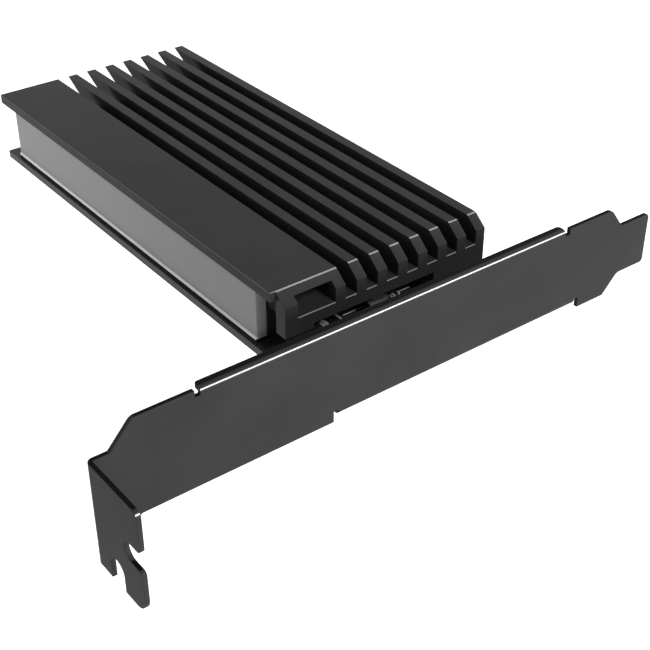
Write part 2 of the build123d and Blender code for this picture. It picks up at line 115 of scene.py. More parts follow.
def add_node(tree: Tree, kind: str, settings: Optional[dict] = None,
             links: Optional[dict] = None) -> bpy.types.Node:
    """Add a node, with its settings and what feeds it.

    Args:
        tree: The node tree that gets it.
        kind: The node's type.
        settings: Values by property name, or by input name or number.
        links: Source sockets by input name or number.

    Returns:
        The new node.
    """
    node = tree.nodes.new(kind)
    for key, value in (settings or {}).items():
        if isinstance(key, str) and hasattr(node, key):
            setattr(node, key, value)
    for key, value in (settings or {}).items():
        if isinstance(key, int) or not hasattr(node, key):
            node.inputs[key].default_value = value
    for key, source in (links or {}).items():
        tree.links.new(source, node.inputs[key])
    return node


def compute(tree: Tree, operation: str, first: Outlet, second: Union[Outlet, float]) -> Outlet:
    """Reckon with a socket and another one, or a number."""
    node = add_node(tree, "ShaderNodeMath", {"operation": operation}, {0: first})
    if isinstance(second, float):
        node.inputs[1].default_value = second
    else:
        tree.links.new(second, node.inputs[1])
    return node.outputs[0]


def tint(tree: Tree, base: Outlet, tone: str, share: Outlet) -> Outlet:
    """Lay a tone over a colour, as far as a share from 0 to 1."""
    return add_node(tree, "ShaderNodeMix", {"data_type": "RGBA", 7: linear(tone)},
                    {0: share, 6: base}).outputs[2]


def emptied(owner: Union[bpy.types.Material, bpy.types.World]) -> Tree:
    """Turn on a material's or world's nodes, and clear them."""
    owner.use_nodes = True
    owner.node_tree.nodes.clear()
    return owner.node_tree


def add_object(name: str, data: bpy.types.ID) -> bpy.types.Object:
    """Put a mesh, lamp or camera in the scene."""
    made = bpy.data.objects.new(name, data)
    bpy.context.scene.collection.objects.link(made)
    return made


# Finishes


@dataclass(frozen=True)
class Finish:
    """A real surface: its two tones, the size of its patches and grain, and how it shines.

    Attributes:
        name: What the material is.
        deep: Its darker tone.
        pale: Its lighter tone.
        patch_mm: Size of the slow changes of tone.
        grain_mm: Size of the fine grain.
        relief_mm: Height of the fine grain.
        smooth: Roughness where it is smoothest.
        rough: Roughness where it is roughest.
        metallic: 1 for bare or plated metal.
        ior: Index of refraction of what isn't metal.
        specular: Specular level.
        stretch: How much longer the grain is along X, Y and Z.
    """

    name: str
    deep: str
    pale: str
    patch_mm: float
    grain_mm: float
    relief_mm: float
    smooth: float
    rough: float
    metallic: float = 0.0
    ior: float = 1.5
    specular: float = 0.5
    stretch: Point = (1.0, 1.0, 1.0)

    def build(self) -> bpy.types.Material:
        """Make the material.

        Returns:
            The material, ready to go into a slot.
        """
        material = bpy.data.materials.new(self.name)
        tree = emptied(material)
        place = add_node(tree, "ShaderNodeTexCoord").outputs["Object"]
        along = add_node(tree, "ShaderNodeMapping", {"Scale": [1.0 / s for s in self.stretch]},
                         {"Vector": place}).outputs["Vector"]
        slow, grain = (add_node(tree, "ShaderNodeTexNoise", {"Scale": 1 / (size * MM), "Detail": detail},
                                {"Vector": where}).outputs["Fac"]
                       for size, detail, where in ((self.patch_mm, 3.0, place), (self.grain_mm, 2.0, along)))
        limits = {"From Min": PATCH_RANGE[0], "From Max": PATCH_RANGE[1], "To Max": 1 - GRAIN_SHARE}
        patches = add_node(tree, "ShaderNodeMapRange", limits, {"Value": slow}).outputs["Result"]
        tone = add_node(tree, "ShaderNodeMath", {"operation": "MULTIPLY_ADD", 1: GRAIN_SHARE},
                        {0: grain, 2: patches}).outputs[0]
        tones = {"data_type": "RGBA", 6: linear(self.deep), 7: linear(self.pale)}
        base = add_node(tree, "ShaderNodeMix", tones, {0: tone}).outputs[2]
        colour = self.colour(tree, place, base)
        sheen = add_node(tree, "ShaderNodeMapRange", {"To Min": self.smooth, "To Max": self.rough},
                         {"Value": grain}).outputs["Result"]
        bump = add_node(tree, "ShaderNodeBump", {"Strength": 1.0, "Distance": self.relief_mm * MM},
                        {"Height": grain}).outputs["Normal"]
        shader = add_node(tree, "ShaderNodeBsdfPrincipled", {"Metallic": self.metallic},
                          {"Base Color": colour, "Roughness": sheen, "Normal": bump})
        if not self.metallic:
            shader.inputs["IOR"].default_value = self.ior
        shader.inputs["Specular IOR Level"].default_value = self.specular
        self.extras(shader)
        add_node(tree, "ShaderNodeOutputMaterial", links={"Surface": shader.outputs[0]})
        return material

    def colour(self, tree: Tree, place: Outlet, base: Outlet) -> Outlet:
        """Give the base colour, which finishes with more to show add to.

        Args:
            tree: The material's nodes.
            place: Object coordinates.
            base: The two tones, mixed.

        Returns:
            The colour socket.
        """
        return base

    def extras(self, shader: bpy.types.Node) -> None:
        """Set what only some finishes have on the shader's own sockets."""


def facing(tree: Tree, direction: Point, start: float, end: float) -> Outlet:
    """Find where the surface looks one way.

    Args:
        tree: The material's nodes.
        direction: The way, in the card's axes.
        start: Cosine at which the mask begins.
        end: Cosine at which it is full.

    Returns:
        A mask from 0 to 1.
    """
    normal = add_node(tree, "ShaderNodeNewGeometry").outputs["True Normal"]
    way = Vector(direction).normalized()
    cosine = add_node(tree, "ShaderNodeVectorMath", {"operation": "DOT_PRODUCT", 1: way},
                      {0: normal}).outputs["Value"]
    return add_node(tree, "ShaderNodeMapRange", {"From Min": start, "From Max": end},
                    {"Value": cosine}).outputs["Result"]


@dataclass(frozen=True)
class PaintedLightBand:
    """A band of painted highlight or painted shade, on an edge or a face, told by the way it looks and how
    high it lies.

    Attributes:
        way: The way it looks, in the card's axes.
        low_mm: The height above which it counts.
        high_mm: The height below which it counts.
        share: How much of its tone it shows.
        tone: Its own tone, where it hasn't the finish's painted highlight tone.
    """

    way: Point
    low_mm: float = -20.0
    high_mm: float = 20.0
    share: float = 1.0
    tone: str = ""


@dataclass(frozen=True)
class PaintedLightFinish(Finish):
    """A finish with bands of painted light: mostly thin pale painted highlights on edges, and some painted
    shade.

    Attributes:
        edge: The tone of the painted highlights.
        painted_light_bands: The bands of painted highlight and painted shade.
        edge_start: Cosine at which a band begins.
        edge_end: Cosine at which it is full.
    """

    edge: str = "#8a8a8c"
    painted_light_bands: tuple[PaintedLightBand, ...] = ()
    edge_start: float = 0.975
    edge_end: float = 0.99

    def colour(self, tree: Tree, place: Outlet, base: Outlet) -> Outlet:
        """Mix each band's painted highlight or painted shade over the base where the surface looks its way.
        """
        height = add_node(tree, "ShaderNodeSeparateXYZ", links={0: place}).outputs["Z"]
        for painted_band in self.painted_light_bands:
            mask = facing(tree, painted_band.way, self.edge_start, self.edge_end)
            for limit, test in ((painted_band.low_mm, "GREATER_THAN"), (painted_band.high_mm, "LESS_THAN")):
                mask = compute(tree, "MULTIPLY", mask, compute(tree, test, height, limit * MM))
            base = tint(tree, base, painted_band.tone or self.edge, compute(tree, "MULTIPLY", mask, painted_band.share))
        return base


@dataclass(frozen=True)
class LaminateFinish(Finish):
    """Solder mask over woven glass laminate, whose cut sides show the laminate itself.

    Attributes:
        side: The cut sides' tone.
        weave_mm: Spacing of the glass yarns that show faintly through the mask.
        weave_share: How far they show.
        waver: How uneven they are.
    """

    side: str = "#3b3a38"
    weave_mm: float = 0.55
    weave_share: float = 0.25
    waver: float = 0.4

    def colour(self, tree: Tree, place: Outlet, base: Outlet) -> Outlet:
        """Lay a faint weave over the faces, and the laminate's tone over the sides."""
        scale = 1 / (self.weave_mm * MM) / math.tau
        weft, warp = (add_node(tree, "ShaderNodeTexWave",
                               {"bands_direction": axis, "Distortion": self.waver, "Scale": scale},
                               {"Vector": place}).outputs["Fac"] for axis in ("X", "Y"))
        weave = compute(tree, "MULTIPLY", weft, warp)
        base = tint(tree, base, self.pale, compute(tree, "MULTIPLY", weave, self.weave_share))
        normal = add_node(tree, "ShaderNodeNewGeometry").outputs["True Normal"]
        upright = add_node(tree, "ShaderNodeSeparateXYZ", links={0: normal}).outputs["Z"]
        face = add_node(tree, "ShaderNodeMath", {"operation": "ABSOLUTE"}, {0: upright}).outputs[0]
        return add_node(tree, "ShaderNodeMix", {"data_type": "RGBA", 6: linear(self.side)},
                        {0: face, 7: base}).outputs[2]


@dataclass(frozen=True)
class DiffuserFinish(Finish):
    """Frosted light bar, paler towards its far end, with painted light on its near end and foot and a painted
    shadow under it.

    Attributes:
        far: The tone at its far end.
        span_mm: Where along Y the change begins and ends.
        end: The tone of the painted light on its cut near end.
        foot: The tone of the painted highlight along its foot.
        foot_top_mm: The foot's height.
        painted_shadow_line: The tone of the painted shadow line under the foot.
        painted_shadow_line_top_mm: The painted shadow line's height.
        painted_end_light_cosines: Cosines to the card's front at which the end's painted light begins and is
            full.
        soak: How much light soaks in.
        soak_mm: How deep it goes.
    """

    far: str = "#989899"
    span_mm: Flat = (52.0, 122.0)
    end: str = "#cacacb"
    foot: str = "#e6e6e7"
    foot_top_mm: float = 0.02
    painted_shadow_line: str = "#0b0b0c"
    painted_shadow_line_top_mm: float = -0.42
    painted_end_light_cosines: Flat = (0.9, 0.97)
    soak: float = 0.15
    soak_mm: float = 0.5

    def colour(self, tree: Tree, place: Outlet, base: Outlet) -> Outlet:
        """Run from the near tone to the far one, paint light on the end and a highlight on the foot, and
        paint the shadow line.
        """
        axes = add_node(tree, "ShaderNodeSeparateXYZ", links={0: place}).outputs
        limits = {"From Min": self.span_mm[0] * MM, "From Max": self.span_mm[1] * MM}
        share = add_node(tree, "ShaderNodeMapRange", limits, {"Value": axes["Y"]}).outputs["Result"]
        body = tint(tree, base, self.far, share)
        # Painted light on the near end, which faces the card's front.
        body = tint(tree, body, self.end, facing(tree, (0.0, -1.0, 0.0), *self.painted_end_light_cosines))
        # A painted highlight along the foot, and a painted shadow line under it.
        for top, tone in ((self.foot_top_mm, self.foot), (self.painted_shadow_line_top_mm, self.painted_shadow_line)):
            body = tint(tree, body, tone, compute(tree, "LESS_THAN", axes["Z"], top * MM))
        return body

    def extras(self, shader: bpy.types.Node) -> None:
        """Let a little light soak in, all colours alike, as in milky plastic."""
        shader.inputs["Subsurface Weight"].default_value = self.soak
        shader.inputs["Subsurface Radius"].default_value = (self.soak_mm,) * 3
        shader.inputs["Subsurface Scale"].default_value = MM


@dataclass(frozen=True)
class Finishes:
    """Every finish on the card.

    A grain that is finer than about a tenth of a millimetre in life is drawn at that size or a little
    coarser, because it would be lost in a view of the whole card.
    """

    # Powder-coated steel: a dull satin skin with a fine orange peel, with a painted highlight as a thin pale
    # line along the fold, and painted shade, near black, where it looks straight up.
    coat: Finish = PaintedLightFinish(
        "powder_coated_steel", "#252526", "#2c2c2d", 14.0, 0.45, 0.003, 0.4, 0.48, specular=0.03,
        edge="#e2e2e3", edge_start=0.9895, edge_end=0.9965,
        # A painted highlight on the fold above 8 mm, and painted shade on faces that look straight up.
        painted_light_bands=(PaintedLightBand((0.0, -0.801, 0.599), low_mm=8.0), PaintedLightBand((0.0, 0.0, 1.0), tone="#08080a")))
    # Black anodised aluminium: a smooth satin, with painted highlights as pale lines along the milled edges.
    # The grain lines drawn along the extrusion are finer in life.
    anodised: Finish = PaintedLightFinish(
        "black_anodised_aluminium", "#2c2c2d", "#343435", 11.0, 0.22, 0.0006, 0.14, 0.2, specular=0.04,
        stretch=(1.0, 60.0, 1.0), edge="#8c8c8e",
        # Painted highlights on the front arrises and the front slope's, and fainter on the plate's left
        # arris.
        painted_light_bands=(PaintedLightBand((0.0, -0.385, 0.923)), PaintedLightBand((0.0, -0.707, 0.707), low_mm=5.0, high_mm=8.2),
                 PaintedLightBand((-0.707, 0.0, 0.707), share=0.36)))
    # Black solder mask on glass laminate: a smooth glaze with the weave just showing.
    mask: Finish = LaminateFinish(
        "black_solder_mask_laminate", "#26272a", "#2f3033", 9.0, 0.3, 0.001, 0.28, 0.38, specular=0.12,
        side="#252423")
    # White solder mask: the same glaze, milky and slightly yellow.
    white_mask: Finish = LaminateFinish(
        "white_solder_mask_laminate", "#d9d8d2", "#e6e5df", 6.0, 0.3, 0.001, 0.3, 0.4, side="#b5ab8c")
    # Frosted acrylic: milky, with a fine sanded surface that has no sharp reflection.
    frosted: Finish = DiffuserFinish(
        "frosted_acrylic", "#7e7e7f", "#838384", 18.0, 0.12, 0.0015, 0.42, 0.52, ior=1.49, specular=0.3)
    # Gold plate on nickel: warm, nearly a mirror, with a faint grain.
    gold: Finish = Finish("hard_gold_plate", "#c79a45", "#dcb765", 4.0, 0.15, 0.0005, 0.16, 0.26, 1.0)
    # Tinned copper and solder: pale, with a soft shine under a matt oxide that scatters half the light.
    tin: Finish = Finish("tinned_copper", "#dededa", "#f2f2ed", 1.5, 0.12, 0.001, 0.42, 0.55, 0.45)
    # Nickel-plated steel: neutral, bright, with turning marks.
    nickel: Finish = Finish("nickel_plated_steel", "#c4c3bf", "#dedcd7", 2.0, 0.08, 0.001, 0.34, 0.46, 1.0)
    # Black zinc on steel: dark, oily shine.
    black_zinc: Finish = Finish(
        "black_zinc_plated_steel", "#262627", "#38383a", 1.5, 0.1, 0.001, 0.28, 0.4, 1.0)
    # Brass, turned and nickel flashed: warm grey.
    turned: Finish = Finish("turned_brass", "#a08a55", "#bda56c", 1.5, 0.08, 0.001, 0.24, 0.36, 1.0)
    # Liquid-crystal polymer: matt black moulding with a little flow mottling.
    moulded: Finish = Finish(
        "moulded_polymer", "#2c2c2d", "#39393a", 3.0, 0.2, 0.003, 0.45, 0.6, specular=0.3)
    # Epoxy moulding compound: a chip's body, matt and slightly grainy.
    epoxy: Finish = Finish("epoxy_moulding_compound", "#1b1b1c", "#272728", 1.2, 0.12, 0.004, 0.5, 0.62)
    # Barium titanate: fired ceramic, tan and slightly glossy.
    ceramic: Finish = Finish("fired_ceramic", "#5b4532", "#78593f", 1.0, 0.12, 0.002, 0.32, 0.45)
    # Thick film on alumina: black glaze.
    film: Finish = Finish("thick_film_glaze", "#111113", "#1d1d20", 0.8, 0.1, 0.001, 0.22, 0.3)
    # Pressed iron powder: grey, dull and pitted.
    ferrite: Finish = Finish("pressed_iron_powder", "#3a3a3c", "#4d4d50", 1.5, 0.14, 0.012, 0.6, 0.75)
    # Silicone gap pad: soft, blue-grey, with filler grains.
    silicone: Finish = Finish("silicone_gap_pad", "#7b8796", "#93a0ae", 5.0, 0.25, 0.008, 0.6, 0.8, ior=1.41)
    # Clear green epoxy over a lamp die: dark and glassy.
    lamp_epoxy: Finish = Finish("green_lamp_epoxy", "#08170f", "#12281c", 1.0, 0.2, 0.0005, 0.12, 0.2)
    # Yellow phosphor gel: a lamp's soft, waxy face.
    phosphor: Finish = Finish("phosphor_gel", "#d9c65a", "#e8d97c", 0.8, 0.12, 0.002, 0.3, 0.45, ior=1.41)
    # White polyamide: a lamp's moulded cup.
    polyamide: Finish = Finish("white_polyamide", "#dadad6", "#e8e8e4", 1.5, 0.15, 0.002, 0.35, 0.5)
    # Screen-printed epoxy ink: flat grey-white, a hair proud of the mask.
    ink: Finish = Finish("screen_printed_ink", "#e2e2e0", "#eeeeec", 1.2, 0.1, 0.002, 0.45, 0.6)
    # Copper under the mask: the mask's black, a shade lighter.
    covered_copper: Finish = Finish(
        "copper_under_mask", "#303336", "#3a3d40", 4.0, 0.2, 0.001, 0.26, 0.36, specular=0.2)


class Paints:
    """Makes each finish's material once, when it is first asked for."""

    def __init__(self, finishes: Finishes) -> None:
        """Keep the finishes to make materials from."""
        self.finishes = finishes
        self.made: dict[str, bpy.types.Material] = {}

    def get(self, name: str) -> bpy.types.Material:
        """Give a finish's material.

        Args:
            name: The finish's field in Finishes.

        Returns:
            Its material.
        """
        if name not in self.made:
            self.made[name] = getattr(self.finishes, name).build()
        return self.made[name]


# Meshes


@dataclass(frozen=True)
class Bounds:
    """A box in millimetres."""

    low: Point
    high: Point

    @property
    def middle(self) -> Point:
        """The box's centre."""
        return tuple((a + b) / 2 for a, b in zip(self.low, self.high))

    def span(self, axis: int, margin: float = 0.0) -> Flat:
        """Give where the box begins and ends along an axis, with a margin."""
        return (self.low[axis] - margin, self.high[axis] + margin)


def corners(x: Flat, y: Flat) -> list[Flat]:
    """Give a rectangle's corners, in turn."""
    return [(x[0], y[0]), (x[1], y[0]), (x[1], y[1]), (x[0], y[1])]


def circle(radius: float, z: float, steps: int, centre: Flat = (0.0, 0.0)) -> list[Point]:
    """Give points round a centre, at one height."""
    return [(centre[0] + radius * math.cos(math.tau * i / steps),
             centre[1] + radius * math.sin(math.tau * i / steps), z) for i in range(steps)]


def node_bounds(name: str) -> Bounds:
    """Give a CAD node's box in millimetres."""
    low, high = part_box(name)
    return Bounds(tuple(v / MM for v in low), tuple(v / MM for v in high))


def islands(name: str) -> list[Bounds]:
    """Find each separate solid of a CAD node.

    Args:
        name: The node.

    Returns:
        The solids' boxes in millimetres, from the lowest corner on.
    """
    mesh = bmesh.new()
    mesh.from_mesh(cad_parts[name].data)
    bmesh.ops.remove_doubles(mesh, verts=mesh.verts, dist=1e-6)
    found, seen = [], set()
    for start in mesh.verts:
        if start in seen:
            continue
        group, waiting = [], [start]
        seen.add(start)
        while waiting:
            vertex = waiting.pop()
            group.append(vertex.co / MM)
            fresh = {edge.other_vert(vertex) for edge in vertex.link_edges} - seen
            seen |= fresh
            waiting += fresh
        found.append(Bounds(tuple(min(p[i] for p in group) for i in range(3)),
                            tuple(max(p[i] for p in group) for i in range(3))))
    mesh.free()
    return sorted(found, key=lambda b: tuple(round(v, 3) for v in b.low))


class Shaper:
    """Builds one piece's mesh from prisms, strips, rings and lofts, in millimetres."""

    def __init__(self) -> None:
        """Start with nothing."""
        self.mesh = bmesh.new()

    def loft(self, rings: Sequence[Sequence[Point]], closed_ends: bool = True) -> None:
        """Skin rings of equal count, each to the next.

        Args:
            rings: Closed rings of points.
            closed_ends: Whether the first and last rings are filled.
        """
        made = [[self.mesh.verts.new(Vector(p) * MM) for p in ring] for ring in rings]
        count = len(made[0])
        for one, two in zip(made, made[1:]):
            for i in range(count):
                j = (i + 1) % count
                self.mesh.faces.new((one[i], one[j], two[j], two[i]))
        if closed_ends:
            self.mesh.faces.new(list(reversed(made[0])))
            self.mesh.faces.new(made[-1])

    def prism(self, outline: Sequence[Flat], bottom: float, top: float) -> None:
        """Stand a flat outline up between two heights."""
        self.loft([[(x, y, z) for x, y in outline] for z in (bottom, top)])

    def strip(self, route: Sequence[Flat], width: float, bottom: float, top: float) -> None:
        """Lay a strip of even width along a route, mitred at its turns.

        Args:
            route: The points of its middle line.
            width: Its width.
            bottom: Its lower height.
            top: Its upper height.
        """
        left, right = [], []
        for i, point in enumerate(route):
            here = Vector(point)
            before = (here - Vector(route[i - 1])).normalized() if i else None
            after = (Vector(route[i + 1]) - here).normalized() if i + 1 < len(route) else None
            ways = [w for w in (before, after) if w is not None]
            way = sum(ways, Vector((0.0, 0.0))).normalized()
            side = Vector((-way.y, way.x)) * (width / 2 / max(0.3, way.dot(ways[0])))
            left.append(tuple(here + side))
            right.append(tuple(here - side))
        self.prism(right + left[::-1], bottom, top)

    def frame(self, x: Flat, y: Flat, width: float, bottom: float, top: float) -> None:
        """Lay a rectangle of four strips."""
        spots = corners(x, y)
        for i, spot in enumerate(spots):
            self.strip([spot, spots[(i + 1) % 4]], width, bottom, top)

    def ring(self, centre: Flat, inner: float, outer: float, bottom: float, top: float,
             steps: int = 32) -> None:
        """Add a flat ring, or a disc where its inner radius is 0."""
        turns = [(outer, bottom), (outer, top)]
        if inner:
            turns = [(inner, top), (inner, bottom), *turns, (inner, top)]
        self.loft([circle(radius, z, steps, centre) for radius, z in turns], closed_ends=not inner)

    def piece(self, name: str, material: bpy.types.Material, slot: str,
              smooth: bool = False) -> bpy.types.Object:
        """Turn what was built into a piece that rides on the card.

        Args:
            name: The piece's name.
            material: Its finish.
            slot: Not used.
            smooth: Whether its faces are shaded smooth.

        Returns:
            The piece.
        """
        bmesh.ops.remove_doubles(self.mesh, verts=self.mesh.verts, dist=1e-8)
        bmesh.ops.recalc_face_normals(self.mesh, faces=self.mesh.faces)
        for face in self.mesh.faces:
            face.smooth = smooth
        data = bpy.data.meshes.new(name)
        self.mesh.to_mesh(data)
        self.mesh.free()
        data.materials.append(material)
        piece = add_object(name, data)
        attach(piece, BODY)
        LOG.info("%s: %d faces", name, len(data.polygons))
        return piece


def modify(made: bpy.types.Object, name: str, kind: str, **settings: object) -> None:
    """Add a modifier, with its settings."""
    modifier = made.modifiers.new(name, kind)
    for key, value in settings.items():
        setattr(modifier, key, value)


# Sub-assemblies


@dataclass
class Assembly:
    """Some of the card's pieces.

    Attributes:
        paints: What gives their materials.
    """

    paints: Paints

    def dress(self, finish: str, *names: str, edges: Optional[Edges] = None) -> None:
        """Give CAD nodes their finish, and broken edges where they have them.

        Args:
            finish: The finish's field in Finishes.
            names: The nodes.
            edges: How their edges are broken, or None to leave them.
        """
        for name in names:
            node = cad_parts[name]
            node.data.materials.clear()
            node.data.materials.append(self.paints.get(finish))
            if edges is not None:
                modify(node, "weld", "WELD", merge_threshold=WELD_MM * MM)
                modify(node, "planes", "DECIMATE", decimate_type="DISSOLVE", angle_limit=PLANE_ANGLE)
                modify(node, "edges", "BEVEL", width=edges.value * MM, segments=2, limit_method="ANGLE",
                       angle_limit=EDGE_ANGLE, harden_normals=False)
            LOG.info("%s dressed in %s", name, finish)


class Bracket(Assembly):
    """The folded slot bracket."""

    def build(self) -> None:
        """Dress the sheet."""
        self.dress("coat", "bracket", edges=Edges.SHEARED)


@dataclass(frozen=True)
class CrossHeadScrew:
    """A pan-head screw with a cross recess and a thread, drawn with its head up.

    Attributes:
        head_radius: The head's radius.
        head_height: The head's height.
        shaft_radius: The thread's outer radius.
        reach: How far the shaft goes below the head.
        pitch: The thread's pitch.
        recess_radius: Half the recess's length.
        wing: Half the recess's width, as a share of half its length.
        recess: How deep it slopes, as a share of the head's height.
        crown: How much of its height the head loses at its rim.
        crown_flat: The share of the head's radius that stays flat.
        thread: The thread's depth, as a share of its pitch.
        steps: Points round the axis.
        head_rings: Rings over the head.
        turn_rings: Rings in a turn of the thread.
    """

    head_radius: float
    head_height: float
    shaft_radius: float
    reach: float
    pitch: float
    recess_radius: float
    wing: float = 0.2
    recess: float = 0.45
    crown: float = 0.45
    crown_flat: float = 0.35
    thread: float = 0.18
    steps: int = 48
    head_rings: int = 24
    turn_rings: int = 8

    def head_depth(self, radius: float, angle: float) -> float:
        """Give how far the recess goes down at a point of the head. Its floor rises to its ends."""
        across, along = radius * math.cos(angle), radius * math.sin(angle)
        wing = self.recess_radius * self.wing
        inside = min(abs(across), abs(along)) < wing and radius < self.recess_radius
        return self.recess * self.head_height * (1.15 - radius / self.recess_radius) if inside else 0.0

    def rings(self, head_up: float) -> list[list[Point]]:
        """Give the screw's rings from its head's middle to its tip.

        Args:
            head_up: 1 with the head up and -1 with the head down.

        Returns:
            Rings of points about the axis, with the head's seat at height 0.
        """
        angles = [math.tau * i / self.steps for i in range(self.steps)]
        made = []
        for i in range(1, self.head_rings + 1):
            radius = self.head_radius * i / self.head_rings
            past_flat = max(0.0, radius / self.head_radius - self.crown_flat)
            crown = self.head_height * (1 - self.crown * past_flat ** 2 / (1 - self.crown_flat) ** 2)
            made.append([(radius * math.cos(a), radius * math.sin(a), crown - self.head_depth(radius, a))
                         for a in angles])
        made.append(circle(self.head_radius, 0.0, self.steps))
        count = max(1, round(self.reach / self.pitch * self.turn_rings))
        for i in range(count + 1):
            z = -self.reach * i / count
            ring = []
            for a in angles:
                phase = (z / self.pitch - a / math.tau) % 1.0
                radius = self.shaft_radius - self.thread * self.pitch * (1 - abs(2 * phase - 1))
                if i == count:  # The tip is narrower.
                    radius *= 0.8
                ring.append((radius * math.cos(a), radius * math.sin(a), z))
            made.append(ring)
        return [[(x, y, z * head_up) for x, y, z in ring] for ring in made]


@dataclass
class Fasteners(Assembly):
    """The screws and the standoff.

    Attributes:
        drive_screw: The screw that holds a drive's end.
        bracket_screw: A screw that holds the bracket.
        sink_screw: A screw that holds the heat sink.
    """

    drive_screw: CrossHeadScrew = CrossHeadScrew(2.1, 0.8, 1.0, 2.4, pitch=0.4, recess_radius=1.15)
    bracket_screw: CrossHeadScrew = CrossHeadScrew(2.3, 1.5, 1.25, 2.96, pitch=0.45, recess_radius=1.3)
    sink_screw: CrossHeadScrew = CrossHeadScrew(2.3, 1.5, 1.25, 6.0, pitch=0.45, recess_radius=1.3)

    def build(self) -> None:
        """Make the screws with their threads, and dress the standoff."""
        self.dress("turned", "m2_standoff", edges=Edges.ROUTED)
        self.swap("m2_screw", "drive_end_screw", self.drive_screw, 1.0, "nickel")
        self.swap("bracket_screws", "bracket_screw_pair", self.bracket_screw, 1.0, "black_zinc")
        self.swap("heatsink_screws", "heat_sink_screw_set", self.sink_screw, -1.0, "black_zinc")

    def swap(self, node: str, name: str, screw: CrossHeadScrew, head_up: float, finish: str) -> None:
        """Put threaded screws where a node's plain ones are."""
        shaper = Shaper()
        for box in islands(node):
            x, y, _ = box.middle
            seat = box.high[2] - screw.head_height if head_up > 0 else box.low[2] + screw.head_height
            shaper.loft([[(x + px, y + py, seat + pz) for px, py, pz in ring]
                         for ring in screw.rings(head_up)])
        piece = shaper.piece(name, self.paints.get(finish), node, smooth=True)
        modify(piece, "creases", "EDGE_SPLIT", split_angle=math.radians(40))
        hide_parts(node)


@dataclass
class HeatSink(Assembly):
    """The finned extrusion and the soft pad on its bay's ceiling.

    Attributes:
        pad_radius: How round the pad's long edges are.
        pad_steps: Rings along the pad.
        pad_swell: How far its face rises and falls.
        arc_steps: Steps round each long edge.
        face_steps: Steps across its face.
    """

    pad_radius: float = 0.35
    pad_steps: int = 120
    pad_swell: float = 0.04
    arc_steps: int = 5
    face_steps: int = 24

    def build(self) -> None:
        """Dress the extrusion and make the pad."""
        self.dress("anodised", "heatsink", edges=Edges.EXTRUDED)
        self.make_pad()

    def make_pad(self) -> None:
        """Make the soft pad, rounded at its edges and slightly uneven, in the solid's place."""
        box = node_bounds("thermal_pad")
        shaper = Shaper()
        rings = []
        for i in range(self.pad_steps + 1):
            share = i / self.pad_steps
            from_end = min(share, 1 - share) * self.pad_steps
            tuck = self.pad_radius * max(0.0, 1 - from_end / 2) ** 2
            y = box.low[1] + share * (box.high[1] - box.low[1])
            rings.append([(px, y, pz) for px, pz in self.pad_section(box, tuck, share)])
        shaper.loft(rings)
        piece = shaper.piece("heat_sink_gap_pad", self.paints.get("silicone"), "thermal_pad", smooth=True)
        modify(piece, "creases", "EDGE_SPLIT", split_angle=math.radians(50))
        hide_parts("thermal_pad")

    def pad_section(self, box: Bounds, tuck: float, share: float) -> list[Flat]:
        """Give the pad's section in X and Z: flat against the ceiling and soft below."""
        low, high = box.low, box.high
        radius = self.pad_radius
        turns = [math.pi / 2 * i / self.arc_steps for i in range(1, self.arc_steps)]
        arc = [(radius * (1 - math.cos(t)), low[2] + tuck + radius * (1 - math.sin(t))) for t in turns]
        points = [(low[0] + tuck, high[2]), (low[0] + tuck, low[2] + radius + tuck)]
        points += [(low[0] + tuck + inward, z) for inward, z in arc]
        for i in range(self.face_steps + 1):
            x = low[0] + tuck + radius + (high[0] - low[0] - 2 * (tuck + radius)) * i / self.face_steps
            wave = math.sin(x * 0.9 + 9 * share) * math.sin(share * 31 + x * 0.35)
            points.append((x, low[2] + tuck + self.pad_swell * (0.5 + 0.5 * wave)))
        points += [(high[0] - tuck - inward, z) for inward, z in reversed(arc)]
        return points + [(high[0] - tuck, low[2] + radius + tuck), (high[0] - tuck, high[2])]


@dataclass
class Socket(Assembly):
    """The drive socket: housing, tails, and the springs in its slot.

    Attributes:
        spring_width: A spring's width.
        spring_thickness: A spring's thickness.
        spring_rise: How far a spring stands into the slot.
        slot_depth: The slot's depth.
        slot_faces: The slot's lower and upper faces above the housing's foot.
    """

    spring_width: float = 0.2
    spring_thickness: float = 0.06
    spring_rise: float = 0.28
    slot_depth: float = 4.4
    slot_faces: Flat = (2.4, 3.4)

    def build(self) -> None:
        """Dress the socket and make its springs."""
        self.dress("moulded", "m2_socket_housing", edges=Edges.MOULDED)
        self.dress("tin", "m2_socket_contacts")
        housing = node_bounds("m2_socket_housing")
        mouth, floor = housing.low[1], housing.low[2]
        middles = sorted({round(box.middle[0], 3) for box in islands("m2_socket_contacts")})
        shaper = Shaper()
        for x in middles:
            for face, way in ((self.slot_faces[0], 1.0), (self.slot_faces[1], -1.0)):
                self.add_spring(shaper, x, mouth, floor + face, way)
        shaper.piece("socket_springs", self.paints.get("gold"), "m2_socket_contacts")

    def add_spring(self, shaper: Shaper, x: float, mouth: float, face: float, way: float) -> None:
        """Add one bent spring on a face of the slot."""
        half = self.spring_width / 2
        # How deep in the slot each bend lies, and its share of the rise.
        bends = ((0.7, 0.03), (1.2, 0.6), (1.7, 1.0), (2.2, 0.8), (3.2, 0.25), (self.slot_depth - 0.05, 0.1))
        rings = []
        for depth, rise in bends:
            z = face + way * self.spring_rise * rise
            section = corners((x - half, x + half), (z, z - way * self.spring_thickness))
            rings.append([(px, mouth + depth, pz) for px, pz in section])
        shaper.loft(rings)


